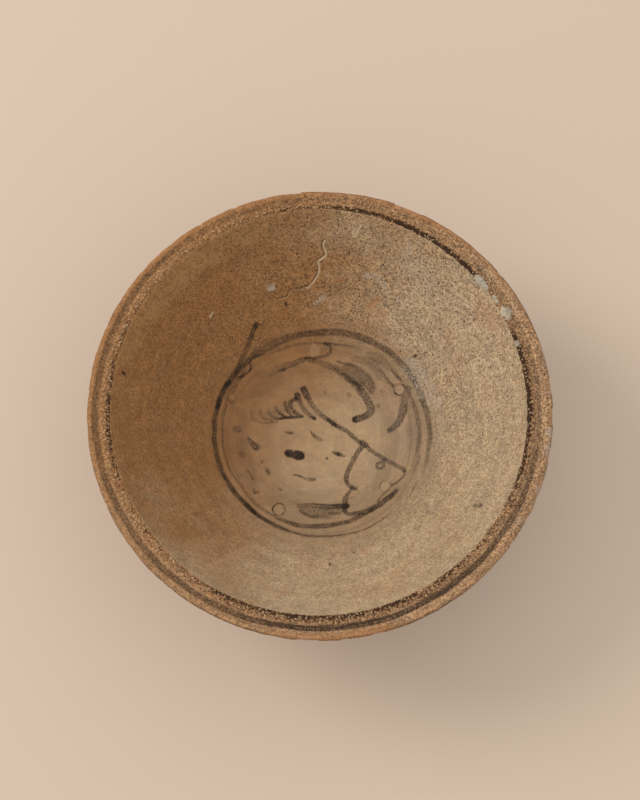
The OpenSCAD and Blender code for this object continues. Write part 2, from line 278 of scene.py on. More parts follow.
painting = {
    "wellWash": ([(-30, 16), (-22, 20), (-12, 24)], (6, 9, 4), (0.16, 0.22, 0.12)),
    "wellWashTop": ([(-8, 33), (4, 33), (14, 31)], (3, 4, 3), (0.1, 0.16, 0.14)),
    "wellWashLeft": ([(-31, 8), (-30, -4), (-26, -16)], (7, 10, 7), (0.12, 0.2, 0.16)),
    "wellWashLow": ([(-22, -24), (-8, -22), (6, -20)], (4, 6, 3), (0.1, 0.17, 0.08)),
    "archLeft": ([(-21, 23.5), (-17.5, 24.8), (-14.5, 26), (-12, 27.2), (-9.5, 27.8), (-7.5, 28.9),
                  (-5, 29.6), (-2.5, 29.2)], (3.5, 2.2, 1.7), (0.12, 0.62, 0.6)),
    "archEdge": ([(-15, 25.2), (-13.6, 25.5), (-12, 26.4)], (0.7, 0.9, 0.6), (0.5, 0.8, 0.4)),
    "archRight": ([(-2, 29), (0, 28.4), (3, 27.3), (6, 26), (9, 24), (12, 21.6), (14.5, 18.8), (16.6, 15.8),
                   (18.3, 12.6), (18.5, 10.6), (17, 9.3), (14.6, 8.4), (13, 7.9)], (1.6, 3, 2.5),
                  (0.5, 0.7, 0.85)),
    "archEnd": ([(14.8, 8.6), (12.9, 7.8)], (1.8, 2.3, 2.4), (0.6, 0.8, 0.9)),
    "archShade": ([(5, 26.4), (9.5, 23.6), (13.6, 20.2), (15.2, 17.6)], (0.7, 1.5, 0.9), (0.4, 0.7, 0.6)),
    "washLine": ([(6.3, 28.7), (9.5, 27.9), (13, 26.9), (15.5, 25.4)], (0.7, 1, 0.7), (0.75, 0.8, 0.3)),
    "washBody": ([(9, 26.8), (13, 25), (16.5, 22), (18.6, 19.2), (18.8, 17.8)], (2, 4.4, 2.2),
                 (0.55, 0.66, 0.72)),
    "washUpper": ([(12, 29.2), (17, 28.4), (20.3, 25.8), (21.6, 22.4)], (1.5, 3.6, 2), (0.3, 0.5, 0.35)),
    "washRight": ([(18, 30.2), (22, 28.6), (25, 25.4)], (2, 3.6, 2), (0.26, 0.4, 0.26)),
    "rightBrush": ([(31.6, 17), (30.6, 13.5), (30.2, 11), (29.3, 7.5), (27.5, 4.7), (25.2, 3)], (3, 3, 1.9),
                   (0.5, 0.72, 0.78)),
    "rightThinA": ([(22.3, 24.8), (23.5, 22.5), (25, 20.5), (26.6, 18.9)], (0.8, 1, 1.3), (0.45, 0.6, 0.75)),
    "rightThinB": ([(26.1, 24.5), (27.5, 22.5), (29.4, 20.4)], (0.9, 0.9, 0.9), (0.5, 0.62, 0.6)),
    "topHook": ([(-5.5, 29.8), (-2.5, 30), (0, 30.2), (2, 30.6), (3.6, 31.6), (4, 33), (3.3, 34.4),
                 (2, 34.7)], (0.8, 1, 1.2), (0.8, 0.6, 0.8)),
    "comb1": ([(-8.4, 16.9), (-7.3, 14.2), (-5.5, 11.4), (-3.5, 9.5), (-2, 8.5)], (2.1, 1.5, 1.5),
              (0.9, 0.6, 0.95)),
    "comb2": ([(-8.8, 15.6), (-10.7, 14.4), (-10.7, 12.5), (-9.5, 11), (-7.8, 9.8)], (1.4, 1.5, 1.1),
              (0.9, 0.75, 0.85)),
    "comb3": ([(-12.6, 14.2), (-12.4, 12.6), (-11.8, 11), (-10.4, 9.5)], (1.2, 1.4, 0.9), (0.7, 0.8, 0.8)),
    "comb4": ([(-16.2, 12.2), (-15.6, 10.8), (-14, 9.6), (-12.8, 8.8)], (1, 1.1, 1.2), (0.55, 0.7, 0.9)),
    "comb5": ([(-18.8, 11.2), (-18, 9.2), (-16, 8.2), (-14, 8.2)], (0.9, 1, 0.7), (0.4, 0.55, 0.7)),
    "comb6": ([(-21.8, 11), (-21, 8.4), (-17.6, 7.2)], (0.9, 0.9, 0.7), (0.3, 0.45, 0.5)),
    "comb7": ([(-25, 10.8), (-24.4, 7.4), (-20.4, 6.2), (-15.8, 7)], (0.9, 1.1, 0.8), (0.3, 0.42, 0.5)),
    "combWash": ([(-24, 8.6), (-19, 8.8), (-14, 10), (-10, 12)], (3.4, 3.6, 3), (0.15, 0.22, 0.15)),
    "combFeet": ([(-14.3, 8), (-12.7, 8.6), (-10, 8.8), (-6.6, 9.2)], (0.8, 1.2, 1.2), (0.7, 0.95, 0.95)),
    "crossHead": ([(-5.9, 18.9), (-5.3, 17.7), (-4.3, 16)], (2.5, 2.5, 2.1), (0.95, 0.8, 0.6)),
    "crossTop": ([(-4.6, 16.4), (-3, 13.8), (-0.6, 10.8), (1.5, 8.9), (3.2, 7.9)], (2, 1.9, 1.5),
                 (0.66, 0.66, 0.75)),
    "crossLine": ([(3, 8), (5, 6.5), (7.3, 5.1), (10, 3.5), (12, 1.5), (14, -0.4), (16.3, -1.8), (18, -3.6),
                   (20.8, -5.7), (23.5, -7.6), (26.2, -9.7), (29.3, -11.6), (30.2, -12.9)], (1.5, 1.5, 1.5),
                  (0.72, 0.78, 0.7)),
    "crossKnot": ([(15.2, -0.6), (16.6, -1.8)], (1.8, 2.2, 1.9), (0.75, 0.85, 0.75)),
    "crossPool": ([(4, 7.2), (5.6, 6.1)], (1.5, 2, 1.6), (0.7, 0.9, 0.8)),
    "mouth": ([(30.2, -12.9), (30.3, -14.3), (28, -16.6), (25.6, -18.2), (24, -19.9), (22, -22), (20.6, -24)],
              (1, 0.8, 0.8), (0.6, 0.7, 0.75)),
    "gill": ([(15.3, -2), (14, -4), (12.2, -7), (10.6, -10.3), (9.6, -13.2), (9.5, -15.3), (10.4, -17),
              (11.8, -18)], (1.9, 1.7, 1.5), (0.78, 0.74, 0.82)),
    "gillKnob": ([(11.6, -17.9), (13, -18.4)], (1.8, 1.8, 1.4), (0.85, 0.85, 0.8)),
    "chin": ([(11.2, -18.6), (9.8, -20.6), (9, -22.8), (9.1, -25.2)], (1.3, 1.8, 2.2), (0.75, 0.7, 0.9)),
    "belly": ([(-7.7, -25.2), (-4, -24.8), (0, -25), (5, -25.2), (9.6, -25.2)], (1.6, 1.9, 2),
              (0.62, 0.72, 0.9)),
    "bellyEdge": ([(-5.6, -24.4), (-2.6, -24.2), (3, -24.5), (8, -24.6)], (0.6, 0.7, 0.8), (0.7, 0.66, 0.7)),
    "bellyWash": ([(-6, -26.6), (-2, -27.4), (3, -27.4), (7.5, -26.6)], (3, 4, 2.6), (0.55, 0.6, 0.5)),
    "bellyWashLow": ([(-7, -27), (-5.4, -28.2), (-3.4, -29.2), (0.5, -29.8), (4, -29.7)], (0.8, 1.3, 0.7),
                     (0.6, 0.75, 0.4)),
    "bellyStreak": ([(3.4, -27.7), (5.4, -28.1), (7.3, -28.2)], (0.6, 0.8, 0.6), (0.6, 0.72, 0.5)),
    "chinHook": ([(9, -25.6), (9, -27.4), (10.4, -28.5), (12.4, -28.3), (15, -28.1), (18.4, -27.4)],
                 (1.8, 1.6, 1.6), (0.85, 0.82, 0.7)),
    "hookSpur": ([(14, -27.6), (16, -26.8), (17.4, -25.9)], (0.8, 0.8, 0.6), (0.5, 0.6, 0.5)),
    "eyeLoop": ([(23.4, -7.7), (21.8, -8.7), (20.4, -9.6), (21.2, -11), (22.7, -10.6), (23, -9)],
                (1.1, 1.1, 1.2), (0.75, 0.75, 0.75)),
    "blobLeft": ([(-11.5, -4.7), (-10.5, -4.9)], (2.9, 3.1, 2.9), (1, 1, 1)),
    "blobRight": ([(-8.5, -5.3), (-7.3, -5.5)], (3.5, 3.8, 3.6), (1, 1, 1)),
    "washFarRight": ([(33.4, 12), (34, 2), (33, -10)], (3, 6, 3), (0.2, 0.3, 0.16)),
    "washNearRight": ([(24, 10), (25, -2), (20, -22)], (4, 8, 4), (0.1, 0.2, 0.14)),
    "dash1": ([(-12.6, 3.2), (-11.2, 3), (-9.6, 3.1)], (0.8, 1.2, 0.7), (0.7, 0.95, 0.5)),
    "dash2": ([(-3.2, 3.4), (-2.2, 2.2), (-1.2, 1.4), (0.3, 0.6)], (0.8, 1.3, 1.4), (0.9, 0.8, 0.55)),
    "dash3": ([(4.8, -4.1), (6.6, -4.9), (8.8, -5.6)], (0.9, 1.8, 0.9), (0.8, 0.95, 0.7)),
    "dash4": ([(-9.7, -12.8), (-6.8, -13.5), (-4.4, -14.6), (-2, -14.5)], (0.6, 0.8, 1.1), (0.7, 0.75, 0.8)),
    "dash4Fork": ([(-4.6, -13.6), (-2.6, -14.2)], (0.4, 0.6, 0.5), (0.4, 0.6, 0.5)),
    "tear": ([(-25.9, 0.2), (-24.7, -1.5), (-23.2, -3)], (0.9, 1.7, 3), (0.7, 0.75, 0.8)),
    "leftSpot1": ([(-30.2, 3), (-29.5, 3)], (2.3, 2.6, 2.2), (0.5, 0.55, 0.5)),
    "leftSpot2": ([(-28.4, -6.2), (-27.8, -6.6)], (2, 2.3, 2), (0.5, 0.6, 0.5)),
    "leftDash1": ([(-26.2, -12.2), (-25, -13.6), (-24, -15.2)], (0.8, 0.8, 1.3), (0.6, 0.6, 0.6)),
    "leftDash2": ([(-19.4, -11), (-18.5, -12.5)], (0.8, 1.2, 1.5), (0.55, 0.75, 0.75)),
    "leftDash3": ([(-23.8, -19), (-23.2, -20.4), (-22.2, -20.3)], (0.8, 1.6, 1.2), (0.4, 0.75, 0.6)),
    "speck1": ([(-21.1, -8.4), (-20.9, -8.7)], (1.1, 1.2, 1.1), (0.55, 0.65, 0.55)),
    "speck2": ([(-14.3, -18.7), (-14, -18.9)], (1.1, 1.2, 1.1), (0.6, 0.75, 0.6)),
    "speck3": ([(10.4, 17), (10.6, 16.6)], (1.4, 1.6, 1.4), (0.5, 0.55, 0.5)),
    "speck4": ([(21, 12.5), (21.2, 12.3)], (1.2, 1.4, 1.2), (0.5, 0.6, 0.5)),
    "speck5": ([(22.4, 17.5), (22.6, 17.3)], (1, 1.2, 1), (0.45, 0.5, 0.45)),
    "speck6": ([(1.5, 18), (1.7, 17.8)], (0.9, 1, 0.9), (0.4, 0.45, 0.4)),
    "speck7": ([(2.4, -6.4), (2.6, -6.6)], (0.7, 0.8, 0.7), (0.9, 1, 0.9)),
    "tail": ([(-22.6, 40.4), (-23.8, 38.2), (-25, 35.4), (-26, 33), (-27, 30.8), (-28.2, 28.4), (-29.4, 25.5),
              (-31, 22), (-33, 19.4), (-34.7, 16.8), (-36, 13.6), (-36.8, 10.5)], (1.8, 1.6, 1.8),
             (0.8, 0.68, 0.62)),
    "tailHead": ([(-22.7, 40.2), (-23.7, 38.4)], (1.4, 1.8, 1.4), (0.3, 0.66, 0.4)),
    "tailHook": ([(-20.6, 30.4), (-23.4, 29.6), (-24.9, 28), (-25.3, 26.6), (-25, 25.2), (-26.6, 23.3),
                  (-29.6, 21.5), (-31.2, 22.2)], (0.7, 0.9, 1), (0.55, 0.8, 0.85)),
    "tailWash": ([(-26.5, 28), (-28.6, 25), (-31, 20.8), (-33.4, 15)], (2, 4.6, 3.6), (0.4, 0.5, 0.4)),
    "ringHaze": ([(-24, 29.5), (-19, 33.4), (-12, 36.6)], (3, 4.4, 2), (0.25, 0.36, 0.3)),
    "leftKnot": ([(-32.4, 13.8), (-31.8, 12.6)], (1.6, 1.9, 1.6), (0.5, 0.6, 0.5)),
    "ringTrace1": ([(34.6, -17.4), (33.4, -20), (31.8, -23)], (0.5, 0.6, 0.4), (0.3, 0.6, 0.4)),
    "ringTrace2": ([(35.6, -8), (34.8, -11), (33.4, -14)], (0.8, 0.9, 0.6), (0.4, 0.4, 0.3)),
}

# The two rings round the well, by direction: their radius, width and strength of pigment
wideRing = {
    "radius": {0: 39.4, 20: 39.0, 45: 39.6, 75: 39.1, 90: 38.3, 115: 37.9, 135: 38.0, 160: 38.4, 180: 38.0,
               200: 37.5, 225: 36.7, 250: 37.0, 270: 37.4, 300: 38.3, 330: 39.2, 350: 39.3},
    "width": {0: 1.7, 20: 2.1, 50: 2.1, 75: 2.4, 95: 2.1, 120: 2.6, 135: 1.6, 180: 1.7, 225: 1.8, 240: 1.6,
              262: 0.9, 280: 0.7, 305: 0.6, 320: 0.4, 345: 1.2},
    "strength": {0: 0.74, 20: 0.76, 60: 0.72, 75: 0.74, 100: 0.74, 120: 0.42, 135: 0.7, 160: 0.85, 180: 0.82,
                 225: 0.92, 250: 0.85, 270: 0.8, 305: 0.75, 315: 0.1, 332: 0.1, 348: 0.6},
}
narrowRing = {
    "radius": {0: 35.5, 30: 35.6, 60: 35.4, 90: 34.9, 115: 35.4, 165: 35.8, 180: 35.1, 200: 34.6, 213: 33.8,
               240: 33.8, 255: 33.7, 270: 33.1, 290: 32.9, 303: 32.4, 312: 33.0, 324: 33.9, 345: 35},
    "width": {0: 1.1, 60: 0.7, 100: 0.7, 120: 0.8, 165: 1.0, 200: 0.8, 235: 1.0, 255: 1.7, 270: 1.9, 290: 1.8,
              303: 2.2, 316: 2.2, 324: 1.6, 330: 0.6, 345: 1.0},
    "strength": {0: 0.58, 20: 0.52, 50: 0.22, 66: 0.25, 74: 0.7, 100: 0.6, 112: 0.6, 122: 0.3, 150: 0.2,
                 165: 0.6, 200: 0.62, 235: 0.62, 255: 0.78, 270: 0.82, 290: 0.78, 303: 0.9, 323: 0.98,
                 326: 0.1, 340: 0.2, 352: 0.5},
}


def brushProfile(away, width, strength):
    # Pigment across a stroke, from its middle line outwards: a pale one pools near both edges
    share = away / (width / 2)
    middle = 1 - 0.34 * (1 - strength) * (1 - ramp(share, 0.2, 0.7))
    soft = np.minimum(0.16 + 0.06 * width, 1.6 - 1.3 * strength + 0.1)
    return strength * middle * (1 - ramp(away, width / 2 - soft, width / 2 + 0.22 + 0.05 * width))


def pigment(x, y):
    # How much iron lies on each place of the well, from 0 to 1
    r, a = polar(x, y)
    bare = np.ones_like(r)
    for ring in (wideRing, narrowRing):
        away = np.abs(r + 0.2 * grain(x, y, 4, 5) - around(ring["radius"], a))
        width = around(ring["width"], a) * (1 + 0.12 * grain(x, y, 3, 9))
        hairs = 1 - 0.3 * (1 - around(ring["strength"], a)) * (grain(r * 5, a / 9, 1, 6) > 0.1)
        bare *= 1 - brushProfile(away, width, around(ring["strength"], a)) * hairs
    for path, widths, strengths in painting.values():
        line = smoothPath(path)
        low, high = line.min(0) - 6, line.max(0) + 6
        near = (x > low[0]) & (x < high[0]) & (y > low[1]) & (y < high[1])
        if not near.any():
            continue
        px, py = x[near], y[near]
        px, py = px + 0.14 * grain(px, py, 1.5, 7), py + 0.14 * grain(px, py, 1.5, 8)
        gap = np.hypot(px[:, None] - line[None, :, 0], py[:, None] - line[None, :, 1])
        nearest = gap.argmin(1)
        share = nearest / (len(line) - 1)
        width = np.interp(share, [0, 0.5, 1], widths)
        strength = np.interp(share, [0, 0.5, 1], strengths)
        bare[near] *= 1 - brushProfile(gap[np.arange(len(nearest)), nearest], width, strength)
    # The wash is uneven, and the pigment thins where the glaze ran over it
    return (1 - bare) * (1 + 0.14 * grain(x, y, 2.2, 38))


# Marks on the glaze, each with its path in mm, its reach across and its strength. Chalky deposits
# and worn places are pale, stains from the kiln are a warm brown.
chalkMarks = [
    ([(33, 25), (36, 20), (38, 16)], 4.5, 0.34), ([(40, 14.5), (41.5, 10.5)], 3.6, 0.36),
    ([(31, 60), (30.5, 57)], 3, 0.3), ([(34, 55), (38, 49)], 4.5, 0.22),
    ([(-18.4, 51.3), (-17, 51.6)], 1.25, 0.62), ([(-1.8, 47.6), (1.6, 49.4)], 0.8, 0.5),
    ([(12, 67.8), (11.9, 66.1), (12.9, 66.2), (13.4, 67.2), (14.8, 68.6)], 0.42, 0.85),
    ([(2, 55.6), (3.6, 55.7)], 0.9, 0.3),
    ([(16, 55.2), (18.4, 54.8), (20.6, 53.8), (22.4, 52.4), (23.6, 51)], 1.2, 0.42),
    ([(13, 52), (14.6, 51.8)], 0.6, 0.4), ([(27.6, 46.9), (28, 46.3)], 0.45, 0.8),
    ([(15.5, 61.2), (17, 61.4)], 1.2, 0.3), ([(-39, 40), (-38, 41.4)], 0.28, 0.9),
    ([(28, 44), (30, 33)], 3, 0.16), ([(43, 4), (42, -6)], 3.2, 0.2),
    ([(2, -3.4), (4, -1), (3, 3), (0, 4)], 0.5, 0.16),
]
stainMarks = [
    ([(17.5, 45.5), (21, 47.4)], 1.6, 0.42), ([(19, 44.5), (23, 43)], 1.8, 0.3),
    ([(5.6, 53.9), (8.4, 54)], 0.6, 0.55), ([(57, 37), (61, 32)], 4, 0.26), ([(4, 44), (-4, 43.6)], 2, 0.16),
    ([(-30, 34), (-34, 28)], 5, 0.12), ([(-12.6, 27.2), (-11, 27)], 0.8, 0.2),
    ([(-44, 38), (-30, 50)], 8, 0.14),
]


def marksAt(x, y, marks):
    found = np.zeros_like(x)
    for path, reach, strength in marks:
        line = smoothPath(path, 6)
        near = (np.abs(x - line[:, 0].mean()) < 14) & (np.abs(y - line[:, 1].mean()) < 14)
        px, py = x[near], y[near]
        gap = np.hypot(px[:, None] - line[None, :, 0], py[:, None] - line[None, :, 1]).min(1)
        gap = gap + 0.3 * min(reach, 1.5) * grain(px, py, 1.4, 30)
        found[near] = np.maximum(found[near], strength * (1 - ramp(gap, 0.4 * reach, 1.25 * reach)))
    return found


print("shapes described")


# Materials

def linear(hexColour):
    # An sRGB hex colour, as the shader needs it
    found = []
    for i in (1, 3, 5):
        c = int(hexColour[i:i + 2], 16) / 255
        found.append(c / 12.92 if c <= 0.04045 else ((c + 0.055) / 1.055) ** 2.4)
    return (*found, 1)


def addNode(tree, kind, inputs={}, out=0, **settings):
    # Adds a node with its settings, links or sets its inputs, and gives one of its outputs
    node = tree.nodes.new("ShaderNode" + kind)
    for key, value in settings.items():
        setattr(node, key, value)
    for key, value in inputs.items():
        if isinstance(value, bpy.types.NodeSocket):
            tree.links.new(value, node.inputs[key])
        else:
            node.inputs[key].default_value = value
    return node.outputs[out]


def towards(degrees):
    # A level direction, 0 to the right and 90 away
    return math.cos(math.radians(degrees)), math.sin(math.radians(degrees)), 0


rgba = {"out": 2, "data_type": "RGBA"}


def glazedStoneware(name, look):
    # Thin ash glaze over slip or clay, fired in a wood kiln: satin, sandy, pitted, browner on one side
    # as toasting and painted shade together, with iron pigment showing through it where a brush has been
    material = bpy.data.materials.new(name)
    material.use_nodes = True
    tree = material.node_tree
    shader = tree.nodes["Principled BSDF"]
    # Places in millimetres, so the scale of a pattern is one over its size
    place = addNode(tree, "TexCoord", out="Object")
    mm = addNode(tree, "VectorMath", {0: place, "Scale": perMetre}, operation="SCALE")
    flat = addNode(tree, "VectorMath", {0: mm, 1: (1, 1, 0)}, operation="MULTIPLY")
    radius = addNode(tree, "VectorMath", {0: flat}, out="Value", operation="LENGTH")
    heading = addNode(tree, "VectorMath", {0: flat}, operation="NORMALIZE")

    # Browner on one side in soft patches: toasting where the flame reached, and painted shade on the
    # wall that faces away from the lamp
    outer = addNode(tree, "MapRange", {0: radius, 1: 6, 2: 33, 3: 0.2, 4: 1})
    side = addNode(tree, "VectorMath", {0: heading, 1: towards(look["toastAndShadeSide"])}, out="Value",
                   operation="DOT_PRODUCT")
    side = addNode(tree, "Math", {0: side, 1: outer}, operation="MULTIPLY")
    patches = addNode(tree, "TexNoise", {"Vector": mm, "Scale": 1 / 24, "Detail": 4, "Roughness": 0.6})
    toastAndShade = addNode(tree, "MapRange", {0: side, 1: -0.45, 2: 1.0})
    toastAndShade = addNode(tree, "Math", {0: patches, 1: 1.1, 2: toastAndShade}, operation="MULTIPLY_ADD")
    toastAndShade = addNode(tree, "MapRange", {0: toastAndShade, 1: 0.45, 2: 1.5}, interpolation_type="SMOOTHSTEP")
    colour = addNode(tree, "Mix", {0: toastAndShade, 6: linear(look["pale"]), 7: linear(look["toastedAndShaded"])}, **rgba)

    # The glaze gathers olive round the edge of the well, and thins to grey or pinkish patches
    olive = addNode(tree, "MapRange", {0: radius, 1: 13, 2: 25})
    oliveEnd = addNode(tree, "MapRange", {0: radius, 1: 50, 2: 36})
    olive = addNode(tree, "Math", {0: olive, 1: oliveEnd}, operation="MULTIPLY")
    oliveAwayFromToastAndShade = addNode(tree, "MapRange", {0: toastAndShade, 3: look["olive"], 4: 0.25 * look["olive"]})
    olive = addNode(tree, "Math", {0: olive, 1: oliveAwayFromToastAndShade}, operation="MULTIPLY")
    colour = addNode(tree, "Mix", {0: olive, 6: colour, 7: linear(look["pooled"])}, **rgba)
    thinned = addNode(tree, "TexNoise", {"Vector": mm, "Scale": 1 / 11, "Detail": 5, "Roughness": 0.7})
    fade = addNode(tree, "MapRange", {0: toastAndShade, 3: look["patches"], 4: 0.25 * look["patches"]})
    for low, high, tone in ((0.52, 0.66, look["greyPatch"]), (0.46, 0.34, look["pinkPatch"])):
        share = addNode(tree, "MapRange", {0: thinned, 1: low, 2: high})
        share = addNode(tree, "Math", {0: share, 1: fade}, operation="MULTIPLY")
        colour = addNode(tree, "Mix", {0: share, 6: colour, 7: linear(tone)}, **rgba)

    # Paler where the slip was wiped thick in the middle of the well
    if look["middle"]:
        away = addNode(tree, "VectorMath", {0: mm, 1: (4, -1, 0)}, operation="SUBTRACT")
        away = addNode(tree, "VectorMath", {0: away, 1: (1, 1.1, 0)}, operation="MULTIPLY")
        away = addNode(tree, "VectorMath", {0: away}, out="Value", operation="LENGTH")
        uneven = addNode(tree, "MapRange", {0: thinned, 3: -12, 4: 12})
        away = addNode(tree, "Math", {0: away, 1: uneven}, operation="ADD")
        share = addNode(tree, "MapRange", {0: away, 1: 30, 2: 9, 3: 0, 4: look["middle"]},
                        interpolation_type="SMOOTHSTEP")
        colour = addNode(tree, "Mix", {0: share, 6: colour, 7: linear(look["wiped"])}, **rgba)

    # Mottling in blotches of a few millimetres, and faint rings that follow the throwing
    mottle = addNode(tree, "TexNoise", {"Vector": mm, "Scale": 1 / 4.5, "Detail": 6, "Roughness": 0.72})
    slow = addNode(tree, "VectorMath", {0: mm, "Scale": 0.03}, operation="SCALE")
    ringPlace = addNode(tree, "CombineXYZ", {0: radius})
    ringPlace = addNode(tree, "VectorMath", {0: ringPlace, 1: slow}, operation="ADD")
    rings = addNode(tree, "TexNoise", {"Vector": ringPlace, "Scale": 0.38, "Detail": 4, "Roughness": 0.75})
    for pattern, strength in ((mottle, look["mottle"]), (rings, look["rings"])):
        tone = addNode(tree, "MapRange", {0: pattern, 1: 0.3, 2: 0.7, 3: 1 - strength, 4: 1 + strength})
        colour = addNode(tree, "Mix", {0: 1.0, 6: colour, 7: tone}, blend_type="MULTIPLY", **rgba)

    # Sand in the slip, about half a millimetre: light and dark grains, coarser to one side of the
    # wall and drowned in glaze in the well
    sandSide = addNode(tree, "VectorMath", {0: heading, 1: towards(look["sandSide"])}, out="Value",
                       operation="DOT_PRODUCT")
    sandSide = addNode(tree, "MapRange", {0: sandSide, 1: -1, 2: 1, 3: 0.72, 4: 1.12})
    sandWell = addNode(tree, "MapRange", {0: radius, 1: 33, 2: 46, 3: look["sandInWell"], 4: 1})
    sandShare = addNode(tree, "Math", {0: sandSide, 1: sandWell}, operation="MULTIPLY")
    cells = addNode(tree, "TexVoronoi", {"Vector": mm, "Scale": 1 / look["sandSize"]})
    cells = addNode(tree, "SeparateColor", {0: cells.node.outputs["Color"]})
    sand = addNode(tree, "TexNoise", {"Vector": mm, "Scale": 1 / 0.7, "Detail": 4, "Roughness": 0.85})
    sand = addNode(tree, "MapRange", {0: sand, 1: 0.32, 2: 0.68, 3: -0.4, 4: 0.4})
    cells = addNode(tree, "MapRange", {0: cells, 3: -0.62, 4: 0.62})
    sand = addNode(tree, "Math", {0: sand, 1: cells}, operation="ADD")
    tone = addNode(tree, "Math", {0: sand, 1: sandShare}, operation="MULTIPLY")
    tone = addNode(tree, "Math", {0: tone, 1: look["sand"], 2: 1.0}, operation="MULTIPLY_ADD")
    colour = addNode(tree, "Mix", {0: 1.0, 6: colour, 7: tone}, blend_type="MULTIPLY", **rgba)

    # Pinholes where iron specks burst through: close together on the side that was uppermost in
    # the kiln, scattered elsewhere
    pitNoise = addNode(tree, "TexNoise", {"Vector": mm, "Scale": 1 / 12, "Detail": 4, "Roughness": 0.6})
    pitNoise = addNode(tree, "MapRange", {0: pitNoise, 3: -45, 4: 45})
    pitShare = addNode(tree, "VectorMath", {0: mm, 1: towards(look["pitSide"])}, out="Value",
                       operation="DOT_PRODUCT")
    pitShare = addNode(tree, "Math", {0: pitShare, 1: pitNoise}, operation="ADD")
    fewToMany = {3: look["pitsFew"], 4: look["pitsMany"]}
    pitShare = addNode(tree, "MapRange", {0: pitShare, 1: -30, 2: 60, **fewToMany})
    wellClear = addNode(tree, "MapRange", {0: radius, 1: 34, 2: 42, 3: look["pitsInWell"], 4: 1})
    pitShare = addNode(tree, "Math", {0: pitShare, 1: wellClear}, operation="MULTIPLY")
    dark = None
    for pitch, share, rarity in ((0.75, 1.0, 1.6), (2.9, 0.42, 3.0)):
        spots = addNode(tree, "TexVoronoi", {"Vector": mm, "Scale": 1 / pitch})
        chance = addNode(tree, "SeparateColor", {0: spots.node.outputs["Color"]})
        size = addNode(tree, "Math", {0: chance, 1: rarity}, operation="POWER")
        size = addNode(tree, "Math", {0: size, 1: pitShare}, operation="MULTIPLY")
        size = addNode(tree, "Math", {0: size, 1: share}, operation="MULTIPLY")
        pit = addNode(tree, "Math", {0: size, 1: spots}, operation="SUBTRACT")
        pit = addNode(tree, "Math", {0: pit, 1: 5.0}, operation="MULTIPLY", use_clamp=True)
        dark = pit if dark is None else addNode(tree, "Math", {0: dark, 1: pit}, operation="MAXIMUM")
    darkShare = addNode(tree, "Math", {0: dark, 1: 0.8}, operation="MULTIPLY")
    colour = addNode(tree, "Mix", {0: darkShare, 6: colour, 7: linear(look["pit"])}, **rgba)

    # Iron pigment, broken up by the sand as a dry brush leaves it. The same dark colour carries the
    # painted shade beside the glaze fissure
    iron = addNode(tree, "Attribute", out="Fac", attribute_name="iron")
    broken = addNode(tree, "TexNoise", {"Vector": mm, "Scale": 1 / 0.5, "Detail": 3, "Roughness": 0.85})
    broken = addNode(tree, "MapRange", {0: broken, 1: 0.3, 2: 0.7, 3: -0.62, 4: 0.5})
    thin = addNode(tree, "MapRange", {0: iron, 1: 0.12, 2: 0.55, 3: 0.08, 4: 1})
    here = addNode(tree, "MapRange", {0: iron, 1: 0, 2: 0.05})
    full = addNode(tree, "MapRange", {0: iron, 1: 1, 2: 0.85, 3: 0.2, 4: 1})
    broken = addNode(tree, "Math", {0: broken, 1: thin}, operation="MULTIPLY")
    broken = addNode(tree, "Math", {0: broken, 1: here}, operation="MULTIPLY")
    broken = addNode(tree, "Math", {0: broken, 1: full, 2: iron}, operation="MULTIPLY_ADD", use_clamp=True)
    ironTone = addNode(tree, "Mix", {0: broken, 6: linear(look["ironThin"]), 7: linear(look["iron"])}, **rgba)
    colour = addNode(tree, "Mix", {0: broken, 6: colour, 7: ironTone}, **rgba)

    # Brown haze under the grit of the ledge
    crusted = addNode(tree, "Attribute", out="Fac", attribute_name="crust")
    haze = addNode(tree, "MapRange", {0: crusted, 1: 0.05, 2: 0.6, 3: 0, 4: 0.55})
    colour = addNode(tree, "Mix", {0: haze, 6: colour, 7: linear(look["haze"])}, **rgba)

    # Sandy band and warmth near the lip, glassy scars, crust on the ledge, chalk in worn places and
    # bare clay in chips. Each has how ragged it is, and where in its strength it starts and ends.
    gritty = addNode(tree, "TexNoise", {"Vector": mm, "Scale": 1 / 0.7, "Detail": 4, "Roughness": 0.75})
    layers = (("sandy", 1.9, 0.1, 0.9), ("warm", 0.8, 0, 1), ("glassy", 0.2, 0, 1), ("crust", 2.8, 0.4, 0.55),
              ("chalk", 2.6, 0.1, 0.9), ("bare", 0.6, 0.1, 0.9))
    for attribute, rough, low, high in layers:
        amount = addNode(tree, "Attribute", out="Fac", attribute_name=attribute)
        present = addNode(tree, "MapRange", {0: amount, 1: 0, 2: 0.25, 3: 0, 4: rough})
        mixed = addNode(tree, "Math", {0: gritty, 1: 0.5}, operation="SUBTRACT")
        mixed = addNode(tree, "Math", {0: mixed, 1: present, 2: amount}, operation="MULTIPLY_ADD")
        mixed = addNode(tree, "MapRange", {0: mixed, 1: low, 2: high}, interpolation_type="SMOOTHSTEP")
        colour = addNode(tree, "Mix", {0: mixed, 6: colour, 7: linear(look[attribute])}, **rgba)

    # Pale sand grains that stand in the crust
    crusted = addNode(tree, "MapRange", {0: crusted, 1: 0.05, 2: 0.25})
    flecks = addNode(tree, "TexVoronoi", {"Vector": mm, "Scale": 1 / 1.1})
    flecks = addNode(tree, "MapRange", {0: flecks, 1: 0.36, 2: 0.26})
    flecks = addNode(tree, "Math", {0: flecks, 1: crusted}, operation="MULTIPLY")
    flecks = addNode(tree, "Math", {0: flecks, 1: 0.5}, operation="MULTIPLY")
    colour = addNode(tree, "Mix", {0: flecks, 6: colour, 7: linear(look["fleck"])}, **rgba)
    tree.links.new(colour, shader.inputs["Base Color"])

    # Satin on the wall and glossier in the well, where the glaze has gathered
    gloss = addNode(tree, "MapRange", {0: radius, 1: 30, 2: 50, 3: look["roughWell"], 4: look["roughWall"]})
    tree.links.new(gloss, shader.inputs["Roughness"])
    shader.inputs["IOR"].default_value = 1.5
    shader.inputs["Specular IOR Level"].default_value = look["specular"]

